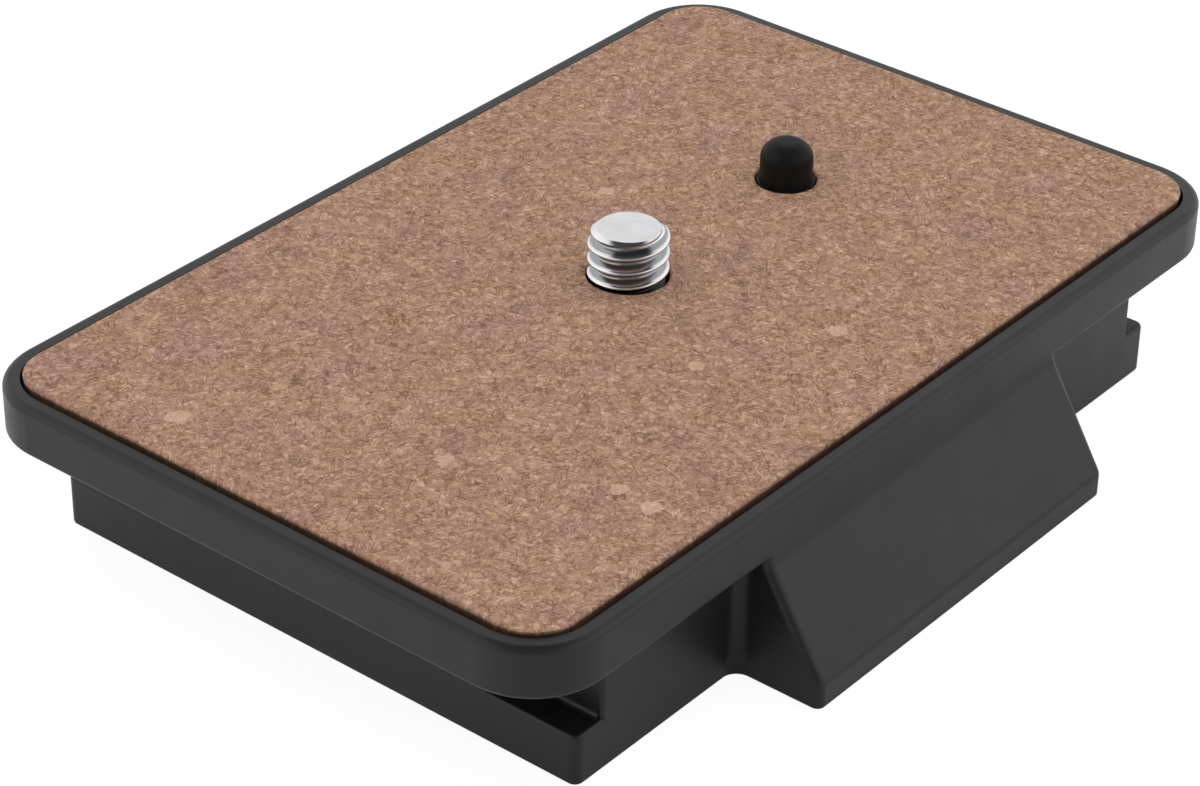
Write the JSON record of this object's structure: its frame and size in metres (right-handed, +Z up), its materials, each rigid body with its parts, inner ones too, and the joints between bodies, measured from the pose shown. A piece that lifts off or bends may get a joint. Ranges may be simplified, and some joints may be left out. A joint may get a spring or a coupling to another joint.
{
  "type": "tripod quick release plate",
  "caption": "Rectangular camera plate with a cork-faced tray, captive camera screw with folding ring, sprung locating pin, end grooves and dovetail side wedges.",
  "frame": {"origin": "middle of the plate's underside, on the camera screw's axis", "axes": "+X along the long side towards the locating pin, +Y across, +Z up through the cork"},
  "size_m": [0.0848, 0.0648, 0.0194],
  "materials": {
    "body_plastic": "fine satin moulded",
    "cork": "agglomerated cork, sanded",
    "polished_steel": "polished",
    "ring_steel": "bright plated wire",
    "spring_steel": "drawn, oiled",
    "plated_steel": "zinc plated",
    "pin_black": "black satin"
  },
  "bodies": {
    "plate": {"plate_body": "body_plastic", "cork_pad": "cork", "pin_spring": "spring_steel", "pin_retainer": "plated_steel", "retainer_screw_1": "plated_steel", "retainer_screw_2": "plated_steel"},
    "screw": {"camera_screw": "polished_steel", "retaining_clip": "spring_steel", "friction_washer": "spring_steel"},
    "ring": {"d_ring": "ring_steel"},
    "pin": {"video_pin": "pin_black"}
  },
  "joints": [
    {"name": "screw_spin", "type": "hinge", "parent": "plate", "child": "screw", "pos_m": [0, 0, 0.0109], "axis": [0, 0, 1], "continuous": true},
    {"name": "ring_fold", "type": "hinge", "parent": "screw", "child": "ring", "pos_m": [0, 0, 0.0068], "axis": [0, 1, 0], "range_deg": [0, 180]},
    {"name": "pin_press", "type": "slide", "parent": "plate", "child": "pin", "axis": [0, 0, -1], "range_m": [0, 0.0033], "stiffness_N_per_m": 500, "springref_m": -0.003, "deforming": ["pin_spring"]}
  ]
}
